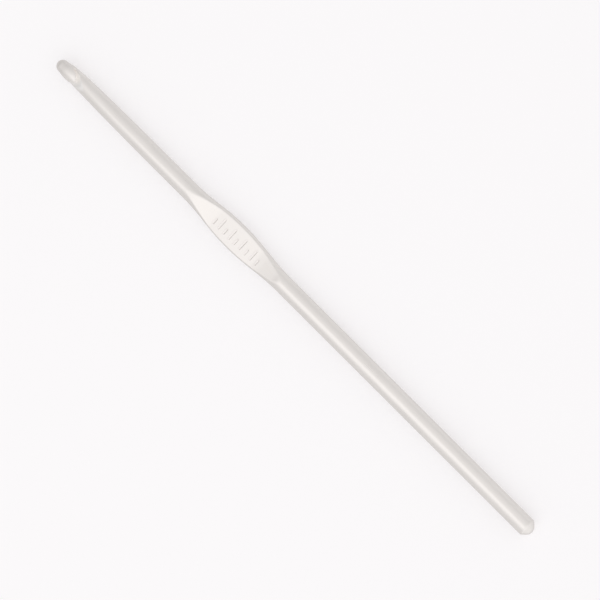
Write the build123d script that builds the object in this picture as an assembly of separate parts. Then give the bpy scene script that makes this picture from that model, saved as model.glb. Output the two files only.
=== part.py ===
from build123d import *
import math
import os

# One-piece aluminium crochet hook, size 4.5 mm.
# The rod runs along X: nose towards +X, butt towards -X. The marked thumb flat faces +Z,
# and the mouth is turned a little from it. The origin is on the rod's axis, at mid length.
# Stations, named "back", are distances back from the nose. All lengths are in mm.

length = 158.0            # nose to butt
rod_d = 4.5               # shaft and handle, the hook's size
rod_r = rod_d / 2

# Head: a ball nose, lifted towards the mouth side until its top is near the top of the rod
nose_r = 1.55
nose_lift = 0.60
head_turn = 22.0          # degrees from +Z towards +Y
# back, radius, lift of the section's centre
head_sections = [
    (nose_r, nose_r, nose_lift),
    (2.45, 1.680, 0.565),
    (3.35, 1.835, 0.435),
    (4.25, 1.885, 0.345),
    (5.15, 1.890, 0.245),
    (6.05, 1.903, 0.115),
    (6.95, 1.926, 0.040),
    (7.85, 1.950, 0.000),
]
# Neck profile: back, radius
neck_profile = [
    (7.85, 1.950), (9.5, 1.990), (11.5, 2.035), (14.0, 2.088), (17.0, 2.135),
    (21.0, 2.180), (25.5, 2.217), (30.0, 2.242), (34.0, rod_r),
]

# Mouth, with z measured before the head is turned
slot_r = 0.29             # rounded inner end of the slot
slot_back = 4.55          # centre of that end
slot_z = 0.69
lip_back = 6.40           # back end of the lip
lip_under = (lip_back - 0.36, 1.20)   # back, z
lip_tip = (lip_back, 1.53)
lip_top = (lip_back - 0.44, 1.95)
mouth_clear = (lip_back - 0.50, 3.2)  # corner of the cut, clear of the head
# Ramp from the slot up to the shaft: back, z
ramp = [
    (slot_back, slot_z - slot_r), (5.3, 0.50), (6.0, 0.62), (6.5, 0.76), (6.9, 0.97),
    (7.3, 1.26), (7.7, 1.52), (8.2, 1.74), (8.9, 1.90), (10.0, 2.01), (12.0, 2.12),
    (14.0, 2.22),
]
bow_rate = 0.40           # the lip is shorter by this much times y squared
bow_half_width = 2.4
bow_y = [0.7, 1.2, 1.8, bow_half_width]
bow_reach = 1.2           # how far the trim runs back past the lip
bow_height = 3.0

# Thumb rest: the rod spreads sideways and is pressed flat on two sides
rest_start = 44.6
rest_end = 75.6
# back, sideways spread on each side
spread = [
    (rest_start, 0.0), (46.2, 0.045), (48.0, 0.15), (49.8, 0.31), (51.6, 0.53),
    (53.6, 0.77), (55.6, 0.96), (58.0, 1.08), (60.4, 1.11), (62.6, 1.06), (64.8, 0.90),
    (67.0, 0.68), (69.2, 0.43), (71.2, 0.23), (73.0, 0.09), (74.4, 0.02), (rest_end, 0.0),
]
spread_steepness = 3.0    # how sharply the spread changes sides across the middle
spread_points = 32        # points around each section
flat_z = 1.30             # half the pressed thickness
# Curves at either end of the plane part of each flat: back, z
run_in = [
    (45.0, rod_r), (46.2, 2.14), (47.6, 1.97), (49.1, 1.76), (50.6, 1.58),
    (52.2, 1.41), (54.0, flat_z),
]
run_out = [(67.0, flat_z), (69.0, 1.42), (70.6, 1.59), (72.2, 1.78), (73.6, 1.97), (75.0, rod_r)]
flat_clear_z = 6.0        # outer side of the cut

# Butt end: a sharp shoulder, a cone and a slightly domed face
butt_len = 1.55
butt_cone_r = 1.15        # radius where the cone meets the dome
butt_dome = 0.33          # height of the dome

# Size scale in the +Z flat: a stroke for each half millimetre of the size,
# short for the halves and long for the whole millimetres
mark_step = 0.5
mark_long = 2.9
mark_short = 1.6
mark_pitch = 1.75
mark_line = 0.36          # width of a stroke
mark_depth = 0.13
mark_centre = 61.0        # middle of the scale, back from the nose


def x_at(back):
    return length / 2 - back


def in_xz(table, side=1):
    """Points in X and Z from (back, z) pairs; side -1 mirrors them below the axis."""
    return [(x_at(back), side * z) for back, z in table]


def section_plane(back, z=0):
    return Plane(origin=(x_at(back), 0, z), x_dir=(0, 1, 0), z_dir=(1, 0, 0))


# ---------------------------------------------------------------- lengths of the hook
def make_nose():
    """Front half of a sphere."""
    ball = Pos(x_at(nose_r), 0, nose_lift) * Sphere(nose_r)
    front = Box(10, 10, 10, align=(Align.MIN, Align.CENTER, Align.CENTER))
    return ball & (Pos(x_at(nose_r), 0, 0) * front)


def make_head():
    return loft([
        (section_plane(back, lift) * Circle(radius)).face()
        for back, radius, lift in reversed(head_sections)
    ])


def make_neck():
    profile = in_xz(neck_profile)
    front, rear = profile[0], profile[-1]
    edges = Spline(*profile) + Polyline(rear, (rear[0], 0), (front[0], 0), front)
    return revolve(Plane.XZ * make_face(edges), Axis.X, 360)


def make_rod(start, end):
    return extrude(section_plane(end) * Circle(rod_r), amount=end - start)


def spread_section(back, extra):
    """Rod section spread sideways by extra on each side, as a smooth closed curve."""
    points = []
    for k in range(spread_points):
        angle = 2 * math.pi * (k + 0.5) / spread_points
        side = math.tanh(spread_steepness * math.cos(angle)) / math.tanh(spread_steepness)
        y = rod_r * math.cos(angle) + extra * side
        points.append(Vector(x_at(back), y, rod_r * math.sin(angle)))
    return Face(Wire([Edge.make_spline(points, periodic=True)]))


def make_rest():
    return loft([spread_section(back, extra) for back, extra in reversed(spread)])


def make_butt():
    shoulder_x = x_at(length - butt_len)
    end_x = x_at(length)
    dome_r = (butt_cone_r**2 + butt_dome**2) / (2 * butt_dome)
    half_angle = math.asin(butt_cone_r / dome_r) / 2
    cone_end = (end_x + butt_dome, butt_cone_r)
    dome_mid = (end_x + dome_r * (1 - math.cos(half_angle)), dome_r * math.sin(half_angle))
    edges = (
        Polyline((shoulder_x, 0), (shoulder_x, rod_r), cone_end)
        + ThreePointArc(cone_end, dome_mid, (end_x, 0))
        + Line((end_x, 0), (shoulder_x, 0))
    )
    return revolve(Plane.XZ * make_face(edges), Axis.X, 360)


# ---------------------------------------------------------------- cutting tools
def flat_tool(side):
    """Cut for the flat on +Z (side 1) or -Z (side -1)."""
    start = in_xz(run_in, side)
    end = in_xz(run_out, side)
    clear_z = side * flat_clear_z
    edges = (
        Spline(*start)
        + Line(start[-1], end[0])
        + Spline(*end)
        + Polyline(end[-1], (end[-1][0], clear_z), (start[0][0], clear_z), start[0])
    )
    return extrude(Plane.XZ * make_face(edges), amount=8, both=True)


def mouth_tool():
    floor = in_xz(ramp)
    slot_top = (x_at(slot_back), slot_z + slot_r)
    slot_end = (x_at(slot_back - slot_r), slot_z)
    under, tip, top, clear = in_xz([lip_under, lip_tip, lip_top, mouth_clear])
    edges = (
        Spline(*floor)
        + ThreePointArc(floor[0], slot_end, slot_top)
        + Line(slot_top, under)
        + ThreePointArc(under, tip, top)
        + Polyline(top, clear, (floor[-1][0], clear[1]), floor[-1])
    )
    return extrude(Plane.XZ * make_face(edges), amount=5, both=True)


def bow_tool():
    """Trims the flanks of the lip, so that seen from the mouth it ends in a bow."""
    across = [-y for y in reversed(bow_y)] + [0.0] + bow_y
    bow = [(x_at(lip_back - bow_rate * y * y), y) for y in across]
    rear_x = x_at(lip_back + bow_reach)
    edges = Spline(*bow) + Polyline(
        bow[-1], (rear_x, bow_half_width), (rear_x, -bow_half_width), bow[0]
    )
    return Pos(0, 0, slot_z) * extrude(make_face(edges), amount=bow_height)


def scale_tool():
    """Strokes counted from the nose side, all on one base line on the +Y side."""
    count = round(rod_d / mark_step)
    tool = None
    for k in range(count):
        size = mark_long if k % 2 == 1 else mark_short
        x = x_at(mark_centre) + ((count - 1) / 2 - k) * mark_pitch
        y = mark_long / 2 - size / 2
        outline = Pos(x, y) * Rot(0, 0, 90) * SlotOverall(size, mark_line)
        stroke = Pos(0, 0, flat_z - mark_depth) * extrude(outline, amount=1.0)
        tool = stroke if tool is None else tool + stroke
    return tool


# ---------------------------------------------------------------- hook
def make_hook():
    turn = Rot(-head_turn, 0, 0)
    parts = [
        turn * make_nose(),
        turn * make_head(),
        make_neck(),
        make_rod(neck_profile[-1][0], rest_start),
        make_rest(),
        make_rod(rest_end, length - butt_len),
        make_butt(),
    ]
    solids = [part.solid() for part in parts]
    # The lengths only meet end to end, so they are joined within half a micron
    hook = solids[0].fuse(*solids[1:], tol=0.0005)
    hook = hook - flat_tool(1) - flat_tool(-1)
    hook = hook - turn * mouth_tool() - turn * bow_tool()
    hook = hook - scale_tool()
    return hook.solid()


os.makedirs("parts", exist_ok=True)
hook_body = make_hook()
hook_body.label = "hook_body"
export_step(hook_body, "parts/hook_body.step")
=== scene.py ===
"""A hook made from a round aluminium rod, with a mouth cut near the nose and two pressed flats.

It lies along X with the nose at +X and the butt at -X. The mouth opens towards +Z, turned a
little towards +Y. The flats face +Z and -Z, and the +Z one carries a scale of strokes.
The hook is shaped in millimetres with d, the distance back from the nose, in place of x.
The scene is in metres.
"""
import math

import bpy
import numpy as np
from mathutils import Matrix, Vector


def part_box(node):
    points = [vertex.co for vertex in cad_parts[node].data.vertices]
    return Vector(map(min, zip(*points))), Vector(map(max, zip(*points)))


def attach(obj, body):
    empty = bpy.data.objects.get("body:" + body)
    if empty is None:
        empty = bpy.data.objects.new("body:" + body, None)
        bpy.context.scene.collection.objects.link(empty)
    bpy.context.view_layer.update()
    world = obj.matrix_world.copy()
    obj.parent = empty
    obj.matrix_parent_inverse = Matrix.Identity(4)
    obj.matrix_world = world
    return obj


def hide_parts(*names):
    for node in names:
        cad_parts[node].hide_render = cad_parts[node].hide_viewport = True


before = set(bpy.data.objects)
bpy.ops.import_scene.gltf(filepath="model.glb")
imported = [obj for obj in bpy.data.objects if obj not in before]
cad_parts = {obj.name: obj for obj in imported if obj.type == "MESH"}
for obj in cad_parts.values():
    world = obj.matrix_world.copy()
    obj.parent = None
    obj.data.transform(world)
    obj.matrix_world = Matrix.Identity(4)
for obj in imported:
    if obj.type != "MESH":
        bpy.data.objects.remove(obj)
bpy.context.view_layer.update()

BOX_LO, BOX_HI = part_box("hook_body")
MM = 0.001

# =====================================================================================
# Dimensions of the hook, in millimetres
# =====================================================================================
NOSE_X = BOX_HI.x / MM
LENGTH = (BOX_HI.x - BOX_LO.x) / MM
ROD_R = 2.25
NOSE_R, NOSE_LIFT = 1.55, 0.60      # ball at the nose, and its height over the rod's axis
HEAD_TURN = math.radians(22.0)      # the mouth turns this far from +Z towards +Y
THIN = 1.30                         # half the thickness between the flats

# (d, radius of the section)
RADIUS = [
    (NOSE_R, NOSE_R), (2.45, 1.680), (3.35, 1.835), (4.25, 1.885), (5.15, 1.890), (6.05, 1.903),
    (6.95, 1.926), (7.85, 1.950), (9.5, 1.990), (11.5, 2.035), (14.0, 2.088), (17.0, 2.135),
    (21.0, 2.180), (25.5, 2.217), (30.0, 2.242), (34.0, ROD_R), (40.0, ROD_R),
]
# (d, height of the section's centre over the rod's axis)
LIFT = [
    (NOSE_R, NOSE_LIFT), (2.45, 0.565), (3.35, 0.435), (4.25, 0.345), (5.15, 0.245),
    (6.05, 0.115), (6.95, 0.040), (7.85, 0.0), (9.0, 0.0),
]
# (d, how far each half of the section moves out sideways at the flats)
SPREAD = [
    (44.6, 0.0), (46.2, 0.045), (48.0, 0.15), (49.8, 0.31), (51.6, 0.53), (53.6, 0.77),
    (55.6, 0.96), (58.0, 1.08), (60.4, 1.11), (62.6, 1.06), (64.8, 0.90), (67.0, 0.68),
    (69.2, 0.43), (71.2, 0.23), (73.0, 0.09), (74.4, 0.02), (75.6, 0.0),
]
# (d, distance from the axis to either flat)
FLAT = [
    (39.6, 3.4), (42.6, 2.62), (43.8, 2.40), (45.0, 2.25), (46.2, 2.14), (47.6, 1.97),
    (49.1, 1.76), (50.6, 1.58), (52.2, 1.41), (54.0, THIN), (67.0, THIN), (69.0, 1.42),
    (70.6, 1.59), (72.2, 1.78), (73.6, 1.97), (75.0, 2.25), (76.2, 2.45), (77.6, 2.75),
    (80.6, 3.4),
]
# (d, height of the mouth's floor along its middle)
RAMP = [
    (3.0, 0.40), (4.5, 0.42), (5.3, 0.50), (6.0, 0.62), (6.5, 0.76), (6.9, 0.97), (7.3, 1.26),
    (7.7, 1.52), (8.2, 1.74), (8.9, 1.90), (10.0, 2.01), (12.0, 2.12), (14.0, 2.22),
    (18.0, 2.45), (25.0, 3.0), (33.0, 3.5),
]
# (d, drop of the mouth's floor per square millimetre off its middle)
CROWN = [
    (3.0, 0.06), (4.5, 0.02), (5.3, -0.05), (6.2, -0.10), (7.2, -0.08), (8.2, 0.02),
    (10.0, 0.15), (14.0, 0.21), (25.0, 0.22),
]

FLAT_EDGE_R = 0.12
LIP_END, LIP_BOW, LIP_EDGE_R = 6.40, 0.40, 0.30   # back end of the lip, bowed across its width
SLOT_D, SLOT_Z, SLOT_R = 4.55, 0.69, 0.28         # closed end of the slot under the lip
LIP_UNDER, LIP_SLOPE = 0.98, 0.13   # underside of the lip at SLOT_D, and its rise to the butt
LIP_TOP_R = 0.36                    # rounding of the lip's back edge, down into the mouth
MOUTH_EDGE_R = 0.30
BUTT_LEN, BUTT_CONE_R, BUTT_DOME = 1.55, 1.15, 0.33     # cone and dome together, rim, dome
BUTT_CREASE_R, BUTT_SHOULDER_R = 0.16, 0.14       # roundings of rod to cone and cone to dome

MARK_D, MARK_PITCH = 61.0, 1.75     # middle and spacing of the scale
MARK_LONG, MARK_SHORT = 2.9, 1.6
MARK_LINE, MARK_DEPTH = 0.34, 0.13
MARK_COUNT = round(2 * ROD_R / 0.5)               # a stroke for each half millimetre of rod
MARK_AREA = (8.2, 2.4)                            # half length and half width of the scale
GROOVE_MARGIN, GROOVE_WALL = 0.07, 0.16
BURR_HEIGHT, BURR_OFFSET, BURR_WIDTH = 0.016, 0.13, 0.075


# =====================================================================================
# Curves and roundings
# =====================================================================================
def curve(table):
    """Monotone cubic through the stations of a table, held constant beyond its ends."""
    x, y = np.array(table, float).T
    gap = np.diff(x)
    slope = np.diff(y) / gap
    tangent = np.zeros_like(y)
    for i in range(1, len(x) - 1):
        if slope[i - 1] * slope[i] > 0:
            before, after = 2 * gap[i] + gap[i - 1], gap[i] + 2 * gap[i - 1]
            tangent[i] = (before + after) / (before / slope[i - 1] + after / slope[i])

    def end_tangent(gap0, gap1, slope0, slope1):
        value = ((2 * gap0 + gap1) * slope0 - gap0 * slope1) / (gap0 + gap1)
        if value * slope0 <= 0:
            return 0.0
        overshoots = slope0 * slope1 < 0 and abs(value) > 3 * abs(slope0)
        return 3 * slope0 if overshoots else value

    tangent[0] = end_tangent(gap[0], gap[1], slope[0], slope[1])
    tangent[-1] = end_tangent(gap[-1], gap[-2], slope[-1], slope[-2])

    def value_at(at):
        at = np.clip(at, x[0], x[-1])
        i = np.clip(np.searchsorted(x, at) - 1, 0, len(gap) - 1)
        t = (at - x[i]) / gap[i]
        t2, t3 = t * t, t * t * t
        return ((2 * t3 - 3 * t2 + 1) * y[i] + (t3 - 2 * t2 + t) * gap[i] * tangent[i]
                + (3 * t2 - 2 * t3) * y[i + 1] + (t3 - t2) * gap[i] * tangent[i + 1])

    return value_at


radius_at, lift_at, spread_at = curve(RADIUS), curve(LIFT), curve(SPREAD)
flat_at, ramp_at, crown_at = curve(FLAT), curve(RAMP), curve(CROWN)


def section_top(d):
    return lift_at(d) + radius_at(d)


def section_bottom(d):
    return lift_at(d) - radius_at(d)


def lip_under_at(d):
    return LIP_UNDER + LIP_SLOPE * (d - SLOT_D)


def smooth(t):
    """Eased step from 0 to 1."""
    t = np.clip(t, 0, 1)
    return t * t * (3 - 2 * t)


def spin(y, z, turn):
    """Turn (y, z) about the rod's axis, from +Z towards +Y."""
    s, c = np.sin(turn), np.cos(turn)
    return y * c + z * s, z * c - y * s


def inside_both(a, b, r):
    """Inside both shapes, with the edge between them rounded to radius r."""
    u, v = np.maximum(r + a, 0), np.maximum(r + b, 0)
    return np.minimum(-r, np.maximum(a, b)) + np.sqrt(u * u + v * v)


def inside_either(a, b, r):
    """Inside either shape, with the inner corner between them rounded to radius r."""
    u, v = np.maximum(r - a, 0), np.maximum(r - b, 0)
    return np.maximum(r, np.minimum(a, b)) - np.sqrt(u * u + v * v)


# =====================================================================================
# The skin as a distance field: negative inside the hook, positive outside, about in mm
# =====================================================================================
def bare_rod(d, y, z, head_y, head_z):
    """The rod with its tapered, lifted head and its spread at the flats, before any cutting."""
    fore = d < 9.0
    side = np.where(fore, head_y, y)
    up = np.where(fore, head_z, z) - lift_at(d)
    beyond_spread = np.maximum(np.abs(side) - spread_at(d), 0)
    tube = np.sqrt(beyond_spread * beyond_spread + up * up) - radius_at(d)
    ball = np.sqrt((d - NOSE_R) ** 2 + head_y * head_y + (head_z - NOSE_LIFT) ** 2) - NOSE_R
    return np.where(d < NOSE_R, ball, tube)


def cut_butt(skin, d, y, z):
    """Cone and shallow dome at the butt."""
    from_end = LENGTH - d
    rho = np.sqrt(y * y + z * z)
    slope = (ROD_R - BUTT_CONE_R) / (BUTT_LEN - BUTT_DOME)
    cone = (rho - BUTT_CONE_R - slope * (from_end - BUTT_DOME)) / math.hypot(1, slope)
    bulge = BUTT_DOME / BUTT_CONE_R**2
    dome = (bulge * rho * rho - from_end) / np.sqrt(1 + (2 * bulge * rho) ** 2)
    return inside_both(inside_both(skin, cone, BUTT_CREASE_R), dome, BUTT_SHOULDER_R)


def mark_relief(d, y):
    """How far the upper flat is pressed in (+) or raised (-) by the scale."""
    relief = np.zeros_like(d)
    near = (np.abs(d - MARK_D) < MARK_AREA[0]) & (np.abs(y) < MARK_AREA[1])
    along, across = d[near] - MARK_D, -y[near]
    half_line = MARK_LINE / 2
    gap = np.full(along.shape, 9.0)
    for k in range(MARK_COUNT):
        place = (k - (MARK_COUNT - 1) / 2) * MARK_PITCH
        length = MARK_LONG if k % 2 else MARK_SHORT      # long for the whole millimetres
        start = -MARK_LONG / 2 + half_line
        end = -MARK_LONG / 2 + length - half_line
        stroke = np.hypot(along - place, across - np.clip(across, start, end))
        gap = np.minimum(gap, stroke)
    groove = smooth((half_line + GROOVE_MARGIN - gap) / GROOVE_WALL)
    burr = np.exp(-(((gap - half_line - BURR_OFFSET) / BURR_WIDTH) ** 2))
    relief[near] = MARK_DEPTH * groove - BURR_HEIGHT * burr
    return relief


def press_flats(skin, d, y, z):
    top = z - flat_at(d) + mark_relief(d, y)
    bottom = -z - flat_at(d)
    return inside_both(inside_both(skin, top, FLAT_EDGE_R), bottom, FLAT_EDGE_R)


def cut_mouth(skin, d, y, z):
    """The mouth, with y and z square to it."""
    floor = z + crown_at(d) * y * y - ramp_at(d)
    ahead = d - (SLOT_D - SLOT_R * 0.98)                 # metal on the nose side of the slot
    under = lip_under_at(d) - z
    end = d - (LIP_END - LIP_BOW * y * y)
    lip = inside_both(under, end, LIP_EDGE_R)
    kept = inside_either(inside_either(floor, ahead, SLOT_R), lip, SLOT_R)
    # the edge is rounder round the back of the lip
    at_lip = smooth((d - 4.9) / 0.7) * smooth((z - 0.95) / 0.45) * smooth((6.6 - d) / 0.3)
    return inside_both(skin, kept, MOUTH_EDGE_R + (LIP_TOP_R - MOUTH_EDGE_R) * at_lip)


def skin_distance(d, y, z):
    """Distance to the finished skin. Each cut is applied only to the stretch it can reach."""
    head_y, head_z = spin(y, z, -HEAD_TURN)              # square to the mouth
    skin = bare_rod(d, y, z, head_y, head_z)
    skin = np.where(LENGTH - d < 6, cut_butt(skin, d, y, z), skin)
    skin = np.where((d > 39) & (d < 82), press_flats(skin, d, y, z), skin)
    head = d < 33
    skin[head] = cut_mouth(skin[head], d[head], head_y[head], head_z[head])
    return skin


# =====================================================================================
# The mesh: rings of points along a line that runs from the butt up the rod, round the nose
# and back into the lip. Each point is shot from its ring's centre to the skin.
# =====================================================================================
RING_POINTS, TOP_POINTS, UNDER_POINTS = 208, 88, 44
FLAT_CORNER = math.atan2(2.98, THIN)   # angle from +Z to the edge of a flat
CORNER_GAP = 0.012                     # points keep this angle from that edge
BUTT_CENTRE = LENGTH - 2.7             # the butt's cap is shot from here
LIP_CENTRE = LIP_END - 0.72            # the lip's cap is shot from here
FAN_REACH = 3.3                        # pulls the fan's centres towards the nose
RAY_STEPS, RAY_PACE, RAY_REACH, RAY_TOLERANCE = 90, 0.72, 6.0, 2e-6
NORMAL_STEP = 0.004


def pressed_angles():
    """Angles that space the points evenly across the flats, as tangents, and down the sides."""
    inner = FLAT_CORNER - CORNER_GAP
    outer = FLAT_CORNER + CORNER_GAP
    top = np.arctan(np.linspace(-1, 1, TOP_POINTS) * math.tan(inner))
    under = np.arctan(np.linspace(-1, 1, UNDER_POINTS) * math.tan(inner))
    under = np.where(under < 0, under + math.pi, under - math.pi)
    side = np.linspace(outer, math.pi - outer, (RING_POINTS - TOP_POINTS - UNDER_POINTS) // 2)
    return np.sort(np.concatenate([top, under, side, -side]))


EVEN = (np.arange(RING_POINTS) + 0.5) / RING_POINTS * 2 * math.pi - math.pi
PRESSED = pressed_angles()


def ring(d, z, swing=0.0, tilt=0.0, pressed=0.0, turn=HEAD_TURN):
    """A ring centred at (d, z). Its top swings from +Z towards the butt, its rays tilt towards
    the butt, pressed blends its angles from EVEN to PRESSED, and turn spins it about the rod."""
    return d, z, swing, tilt, pressed, turn


def butt_rings():
    """Cap at the butt, from its pole outwards, closer together over the two rounded edges."""
    crease = math.atan2(LENGTH - BUTT_CENTRE - BUTT_LEN, ROD_R)
    shoulder = math.atan2(LENGTH - BUTT_CENTRE - BUTT_DOME, BUTT_CONE_R)
    tilts = np.concatenate([
        np.linspace(math.pi / 2 - 0.035, shoulder + 0.06, 16),
        np.linspace(shoulder + 0.045, shoulder - 0.045, 9),
        np.linspace(shoulder - 0.07, crease + 0.05, 18),
        np.linspace(crease + 0.035, crease - 0.035, 15),
        np.linspace(crease - 0.06, 0.02, 8),
    ])
    return [ring(BUTT_CENTRE, 0.0, tilt=t, turn=0.0) for t in tilts]


def rod_step(d):
    """Spacing of the rings at d."""
    if 53.6 < d < 69.2:
        return 0.085
    if 44.0 < d < 77.5:
        return 0.16
    for limit, step in ((9, 0.07), (18, 0.14), (34, 0.4)):
        if d < limit:
            return step
    return 0.9


def rod_rings():
    rings = []
    d = BUTT_CENTRE
    while d > SLOT_D + 0.03:
        z = 0.0
        if d < 24:                                       # halfway up the metal left by the mouth
            z = (min(section_top(d), ramp_at(d)) + section_bottom(d)) / 2
        pressed = smooth((d - 45.0) / 5.0) * smooth((76.5 - d) / 5.0)
        turn = HEAD_TURN * (1 - smooth((d - 15.0) / 16.0))
        rings.append(ring(d, z, pressed=pressed, turn=turn))
        d -= rod_step(d)
    return rings


def nose_rings():
    """Fan about the slot's closed end, from under the mouth round the nose to the lip."""
    below = SLOT_Z - (ramp_at(SLOT_D) + section_bottom(SLOT_D)) / 2
    above = (LIP_UNDER + section_top(SLOT_D)) / 2 - SLOT_Z
    rings = []
    for swing in np.linspace(0, math.pi, 110):
        t = swing / math.pi
        rho = (1 - t) ** 2 * below + 2 * t * (1 - t) * FAN_REACH + t**2 * above
        d, z = SLOT_D - rho * math.sin(swing), SLOT_Z - rho * math.cos(swing)
        rings.append(ring(d, z, swing))
    return rings


def lip_rings():
    """Back along the lip, then the cap over its end."""
    z_start = (LIP_UNDER + section_top(SLOT_D)) / 2
    z_end = (lip_under_at(LIP_CENTRE) + section_top(LIP_CENTRE)) / 2
    rings = []
    for d in np.linspace(SLOT_D + 0.07, LIP_CENTRE, 22):
        t = (d - SLOT_D) / (LIP_CENTRE - SLOT_D)
        rings.append(ring(d, z_start + (z_end - z_start) * smooth(t), math.pi))
    for tilt in np.linspace(0.03, math.pi / 2 - 0.05, 34):
        rings.append(ring(LIP_CENTRE, z_end, math.pi, tilt))
    return rings


def shoot(starts, rays):
    """Distance from the starts along unit rays to the skin."""
    travel = np.zeros(len(starts))
    for _ in range(RAY_STEPS):
        gap = skin_distance(*(starts + rays * travel[:, None]).T)
        travel = np.clip(travel - RAY_PACE * gap, 0, RAY_REACH)
        if np.abs(gap).max() < RAY_TOLERANCE:
            break
    return travel


def skin_points():
    """All ring points, then the butt's pole and the lip's pole; and the number of rings."""
    rings = np.array(butt_rings() + rod_rings() + nose_rings() + lip_rings(), float)
    d, z, swing, tilt, pressed, turn = (column[:, None] for column in rings.T)
    angle = EVEN * (1 - pressed) + PRESSED * pressed
    ray_d = np.cos(tilt) * np.cos(angle) * np.sin(swing) + np.sin(tilt)
    ray_y = np.cos(tilt) * np.sin(angle)
    ray_z = np.cos(tilt) * np.cos(angle) * np.cos(swing)
    rays = np.stack([ray_d, *spin(ray_y, ray_z, turn)], -1).reshape(-1, 3)
    centres = np.stack([d, *spin(0.0, z, turn)], -1)[:, 0]
    # both poles are shot towards the butt, from the first and last centres
    starts = np.vstack([np.repeat(centres, RING_POINTS, axis=0), centres[[0, -1]]])
    rays = np.vstack([rays, [(1.0, 0.0, 0.0)] * 2])
    return starts + rays * shoot(starts, rays)[:, None], len(rings)


def skin_normals(points):
    """Outward normals on the scene's axes."""
    normals = np.zeros_like(points)
    for axis in range(3):
        shift = np.zeros(3)
        shift[axis] = NORMAL_STEP
        ahead, behind = (points + shift).T, (points - shift).T
        normals[:, axis] = skin_distance(*ahead) - skin_distance(*behind)
    normals /= np.linalg.norm(normals, axis=1, keepdims=True)
    normals[:, 0] *= -1                                  # x runs against d
    normals[-2] = (-1, 0, 0)                             # butt's pole
    return normals


def skin_faces(ring_count):
    """Quads between the rings and a fan of triangles round each pole, facing outwards."""
    i, k = np.meshgrid(np.arange(ring_count - 1), np.arange(RING_POINTS), indexing="ij")
    here, there = i * RING_POINTS, (i + 1) * RING_POINTS
    k_next = (k + 1) % RING_POINTS
    corners = [there + k, there + k_next, here + k_next, here + k]
    faces = np.stack(corners, -1).reshape(-1, 4).tolist()
    last = (ring_count - 1) * RING_POINTS
    butt_pole = ring_count * RING_POINTS
    lip_pole = butt_pole + 1
    pairs = [(k, (k + 1) % RING_POINTS) for k in range(RING_POINTS)]
    faces += [[a, b, butt_pole] for a, b in pairs]
    faces += [[last + b, last + a, lip_pole] for a, b in pairs]
    return faces


def add_object(name, data):
    obj = bpy.data.objects.new(name, data)
    bpy.context.scene.collection.objects.link(obj)
    return obj


def make_hook():
    points, ring_count = skin_points()
    places = np.stack([NOSE_X - points[:, 0], points[:, 1], points[:, 2]], -1) * MM
    mesh = bpy.data.meshes.new("hook_skin")
    mesh.from_pydata(places.tolist(), [], skin_faces(ring_count))
    mesh.validate()
    mesh.update()
    mesh.polygons.foreach_set("use_smooth", np.ones(len(mesh.polygons), bool))
    obj = add_object("hook_skin", mesh)
    mesh.normals_split_custom_set_from_vertices([tuple(n) for n in skin_normals(points)])
    return obj


# =====================================================================================
# Materials
# =====================================================================================
class Nodes:
    """Short ways to add and wire nodes in the emptied tree of a material or world."""

    def __init__(self, owner):
        owner.use_nodes = True
        self.tree = owner.node_tree
        self.tree.nodes.clear()

    def add(self, kind, inputs=None, **settings):
        """A node, with its inputs (by name or index) set to a value or linked to a socket."""
        node = self.tree.nodes.new(kind)
        for name, value in settings.items():
            setattr(node, name, value)
        for key, value in (inputs or {}).items():
            if isinstance(value, bpy.types.NodeSocket):
                self.tree.links.new(value, node.inputs[key])
            else:
                node.inputs[key].default_value = value
        return node

    def calc(self, operation, *values):
        inputs = dict(enumerate(values))
        return self.add("ShaderNodeMath", inputs, operation=operation).outputs[0]

    def plus(self, a, b):
        return self.calc("ADD", a, b)

    def times(self, a, b):
        return self.calc("MULTIPLY", a, b)

    def noise(self, vector, scale, detail, roughness):
        """Noise on a vector scaled by (x, y, z)."""
        mapping = self.add("ShaderNodeMapping", {"Vector": vector, "Scale": scale})
        inputs = {"Vector": mapping.outputs[0], "Scale": 1.0,
                  "Detail": detail, "Roughness": roughness}
        return self.add("ShaderNodeTexNoise", inputs).outputs["Fac"]

    def remap(self, value, source, target=(0, 1)):
        """Value carried from the source range to the target range, clamped."""
        inputs = dict(enumerate((value, *source, *target)))
        return self.add("ShaderNodeMapRange", inputs).outputs[0]

    def ramp(self, value, stops):
        """Colour ramp with stops of (position, rgb)."""
        node = self.add("ShaderNodeValToRGB", {0: value})
        elements = node.color_ramp.elements
        for element, (position, colour) in zip(list(elements), (stops[0], stops[-1])):
            element.position, element.color = position, (*colour, 1)
        for position, colour in stops[1:-1]:
            elements.new(position).color = (*colour, 1)
        return node.outputs[0]

    def mix_colour(self, factor, a, b):
        inputs = {0: factor, 6: a, 7: b}
        return self.add("ShaderNodeMix", inputs, data_type="RGBA").outputs[2]

    def light_path(self, name):
        return self.add("ShaderNodeLightPath").outputs[name]

    def camera_sees(self, seen, otherwise):
        """One shader for the camera's own rays and another for all other rays."""
        inputs = {0: self.light_path("Is Camera Ray"), 1: otherwise, 2: seen}
        return self.add("ShaderNodeMixShader", inputs).outputs[0]


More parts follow.
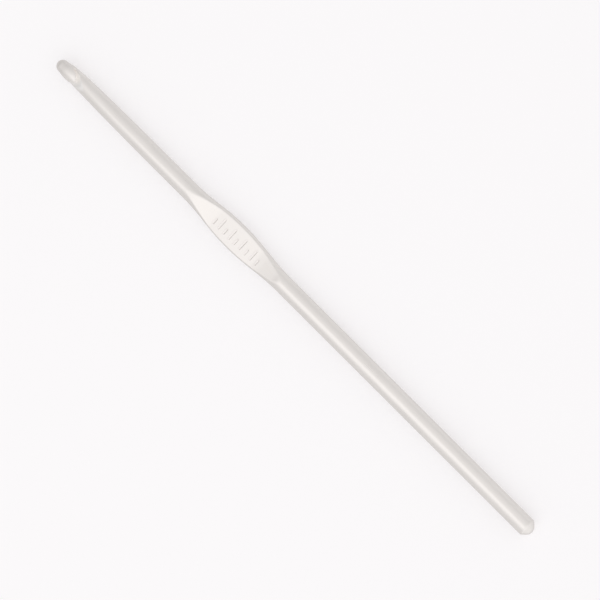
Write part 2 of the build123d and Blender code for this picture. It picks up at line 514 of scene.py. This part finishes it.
def satin_metal():
    """Satin anodised aluminium, drawn along the rod. Lengths are in metres."""
    mat = bpy.data.materials.new("satin_aluminium")
    g = Nodes(mat)
    place = g.add("ShaderNodeTexCoord").outputs["Object"]

    # draw lines are noise stretched along the rod
    lines = g.noise(place, scale=(60, 9000, 9000), detail=3.0, roughness=0.62)
    fine = g.noise(place, scale=(260, 26000, 26000), detail=2.0, roughness=0.6)
    grain = g.noise(place, scale=(14000, 14000, 14000), detail=2.0, roughness=0.55)
    cloud = g.noise(place, scale=(160, 420, 420), detail=3.0, roughness=0.55)

    # warm pale silver, a little uneven
    tone = g.plus(g.times(cloud, 0.6), g.times(lines, 0.4))
    colour = g.ramp(tone, [(0.30, (0.878, 0.837, 0.810)),
                           (0.50, (0.900, 0.858, 0.830)),
                           (0.70, (0.920, 0.879, 0.852))])

    # the cut metal of the mouth and the butt is brighter and less yellow than the satin skin:
    # partly bare metal, and partly painted light standing in for bounce light in the throat and
    # for light on the butt's cone
    x, y, z = g.add("ShaderNodeSeparateXYZ", {0: place}).outputs
    radius = g.calc("SQRT", g.plus(g.times(y, y), g.times(z, z)))
    up = g.plus(g.times(y, math.sin(HEAD_TURN)), g.times(z, math.cos(HEAD_TURN)))
    taper = g.remap(x, (0.0725, 0.0715), (0, 0.00011))   # the skin widens behind the nose
    depth = g.calc("SUBTRACT", radius, taper)
    mouth = g.times(g.remap(depth, (0.00182, 0.00173)), g.remap(up, (0.0001, 0.0003)))
    mouth = g.times(mouth, g.remap(x, (0.0690, 0.0700)))  # fades out at the butt side
    mouth = g.times(mouth, g.remap(x, (0.0746, 0.0741)))  # and at the nose side
    butt = g.remap(x, (-0.07742, -0.07752))
    # bare metal plus painted light: the mouth and the butt's cone are lifted towards a pale
    # colour
    bare_metal_and_painted_light = g.calc("MAXIMUM", mouth, g.times(butt, 0.62))
    colour = g.mix_colour(bare_metal_and_painted_light, colour, (0.985, 0.962, 0.945, 1))

    # painted shade: the skin's colour is a little darker where it slants away from the camera,
    # and towards the nose
    slant = g.add("ShaderNodeLayerWeight", {"Blend": 0.5}).outputs["Facing"]
    painted_slant_shade = g.times(g.remap(slant, (0.20, 0.70)), g.remap(x, (0.074, 0.070), (0.03, 0.11)))
    shade = g.times(g.calc("SUBTRACT", 1.0, painted_slant_shade), g.remap(x, (0.0725, 0.0765), (1.0, 0.93)))
    dimmed = g.add("ShaderNodeVectorMath", {0: colour, "Scale": shade}, operation="SCALE")

    # painted light: on rays that have bounced twice the metal drops its colour and glows at
    # about the room's average brightness, which brightens the throat
    painted_glow_rays = g.calc("GREATER_THAN", g.light_path("Ray Depth"), 1.5)
    colour = g.mix_colour(painted_glow_rays, dimmed.outputs[0], (0, 0, 0, 1))

    # rougher where cut and towards the nose
    drawn = g.plus(g.remap(lines, (0.3, 0.7), (-0.03, 0.03)),
                   g.remap(cloud, (0.3, 0.7), (0.29, 0.34)))
    fore = g.plus(g.times(mouth, 0.14), g.remap(x, (0.0725, 0.0755), (0, 0.13)))
    rough = g.plus(drawn, g.plus(g.times(butt, 0.42), fore))

    # relief of the draw lines and grain
    height = g.plus(g.times(lines, 0.55), g.plus(g.times(fine, 0.25), g.times(grain, 0.20)))
    bump = g.add("ShaderNodeBump", {"Strength": 0.35, "Distance": 0.00002, "Height": height})

    surface = g.add("ShaderNodeBsdfPrincipled", {
        "Base Color": colour,
        "Metallic": 1.0,
        "Roughness": rough,
        "Specular Tint": (0.90, 0.90, 0.90, 1),
        # painted glow, given off only on rays that have bounced twice
        "Emission Color": (0.990, 0.974, 0.958, 1),
        "Emission Strength": g.times(painted_glow_rays, 0.98),
        "Normal": bump.outputs[0],
    })
    g.add("ShaderNodeOutputMaterial", {"Surface": surface.outputs[0]})
    return mat


def pale_floor():
    """A lit white table: to the camera it glows under a thin sheet, so shadows stay faint."""
    mat = bpy.data.materials.new("pale_floor")
    g = Nodes(mat)
    sheet = g.add("ShaderNodeBsdfDiffuse", {"Color": (0.60, 0.60, 0.60, 1)})
    glow = g.add("ShaderNodeEmission", {"Color": (0.437, 0.420, 0.429, 1)})
    lit = g.add("ShaderNodeAddShader", {0: sheet.outputs[0], 1: glow.outputs[0]})
    plain = g.add("ShaderNodeBsdfDiffuse", {"Color": (0.93, 0.93, 0.93, 1)})
    surface = g.camera_sees(lit.outputs[0], otherwise=plain.outputs[0])
    g.add("ShaderNodeOutputMaterial", {"Surface": surface})
    return mat


# =====================================================================================
# Floor, camera, lights and room, in metres
# =====================================================================================
FLOOR_HALF = 4.0

LENS, SENSOR = 231.12, 36.0                   # mm
# where the ends of the rod's axis fall on the sensor: mm right of and above its centre
NOSE_ON_SENSOR = np.array([-14.415, 14.3322])
BUTT_ON_SENSOR = np.array([13.9212, -13.9464])
VIEW_TILT = math.radians(9.0)                 # the nose end leans away from the camera
VIEW_ROLL = math.radians(10.5)                # turn of the hook about its own axis
START_DISTANCE = 0.90                         # first guess for the camera's distance
SOLVE_ROUNDS, SOLVE_NUDGE = 12, 1e-6


def make_floor():
    mesh = bpy.data.meshes.new("floor")
    corners = [(-1, -1), (1, -1), (1, 1), (-1, 1)]
    places = [(x * FLOOR_HALF, y * FLOOR_HALF, BOX_LO.z) for x, y in corners]
    mesh.from_pydata(places, [], [(0, 1, 2, 3)])
    floor = add_object("floor", mesh)
    mesh.materials.append(pale_floor())


def view_axes(slope):
    """The scene's X, Y and Z as columns of (right, up, back) for the camera. Slope is the
    angle of the line from nose to butt in the view."""
    ct, st = math.cos(VIEW_TILT), math.sin(VIEW_TILT)
    cr, sr = math.cos(VIEW_ROLL), math.sin(VIEW_ROLL)
    x_axis = -np.array([ct * math.cos(slope), ct * math.sin(slope), st])
    flat_y = np.array([math.sin(slope), -math.cos(slope), 0.0])
    flat_z = np.cross(x_axis, flat_y)
    return np.stack([x_axis, cr * flat_y - sr * flat_z, cr * flat_z + sr * flat_y], 1)


def sensor_miss(guess):
    """How far both ends fall from their places on the sensor. A guess is the slope, then the
    scene's origin in camera axes."""
    x_axis = view_axes(guess[0])[:, 0]
    misses = []
    for x, target in ((BOX_HI.x, NOSE_ON_SENSOR), (BOX_LO.x, BUTT_ON_SENSOR)):
        seen = x_axis * x + guess[1:]
        misses.append(LENS * seen[:2] / -seen[2] - target)
    return np.concatenate(misses)


def solve_view():
    """Newton's method for the view that puts nose and butt in their places."""
    right, up = BUTT_ON_SENSOR - NOSE_ON_SENSOR
    guess = np.array([math.atan2(up, right), 0.0, 0.0, -START_DISTANCE])
    for _ in range(SOLVE_ROUNDS):
        miss = sensor_miss(guess)
        nudges = SOLVE_NUDGE * np.eye(4)
        rates = [(sensor_miss(guess + nudge) - miss) / SOLVE_NUDGE for nudge in nudges]
        guess = guess - np.linalg.solve(np.stack(rates, 1), miss)
    return view_axes(guess[0]), guess[1:]


def make_camera():
    axes, origin = solve_view()
    data = bpy.data.cameras.new("camera")
    camera = add_object("camera", data)
    data.sensor_width = SENSOR
    data.lens = LENS
    data.clip_start, data.clip_end = 0.01, 20.0
    turn = Matrix(axes.T.tolist())
    place = turn @ Vector((-origin).tolist())
    camera.matrix_world = Matrix.Translation(place) @ turn.to_4x4()
    bpy.context.scene.camera = camera


def softbox(name, direction, distance, size, watts):
    """A round area light out along a direction from the origin, facing back at it."""
    data = bpy.data.lights.new(name, "AREA")
    data.shape = "DISK"
    data.size = size
    data.energy = watts
    light = add_object(name, data)
    out = Vector(direction).normalized()
    light.location = out * distance
    light.rotation_mode = "QUATERNION"
    light.rotation_quaternion = out.to_track_quat("Z", "Y")


def make_room():
    """Soft grey room that brightens upwards; the camera sees a white sweep instead."""
    world = bpy.data.worlds.new("studio")
    bpy.context.scene.world = world
    g = Nodes(world)
    direction = g.add("ShaderNodeTexCoord").outputs["Generated"]
    x, y, z = g.add("ShaderNodeSeparateXYZ", {0: direction}).outputs
    greys = [(0.0, 0.740), (0.35, 0.778), (0.70, 0.832), (1.0, 0.905)]   # (height, grey)
    colour = g.ramp(z, [(height, (grey, grey, grey)) for height, grey in greys])
    # brighter towards the butt, and a little darker on the -Y side
    strength = g.calc("MULTIPLY_ADD", x, -0.20, 1.0)
    strength = g.calc("MULTIPLY_ADD", y, 0.03, strength)
    room = g.add("ShaderNodeBackground", {"Color": colour, "Strength": strength})
    sweep = g.add("ShaderNodeBackground", {"Color": (0.951, 0.933, 0.942, 1)})
    surface = g.camera_sees(sweep.outputs[0], otherwise=room.outputs[0])
    g.add("ShaderNodeOutputWorld", {"Surface": surface})


# =====================================================================================
# Build
# =====================================================================================
hook = make_hook()
hook.data.materials.append(satin_metal())
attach(hook, "root")
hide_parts("hook_body")

make_floor()
make_camera()
softbox("key", direction=(0.057, 0.36, 0.93), distance=0.354, size=0.305, watts=0.0479)
softbox("fill", direction=(-0.86, 0.34, 0.38), distance=0.9, size=0.84, watts=0.27)
make_room()

view = bpy.context.scene.view_settings
view.view_transform = "Standard"
view.look = "None"
view.exposure = 0.0
view.gamma = 1.0
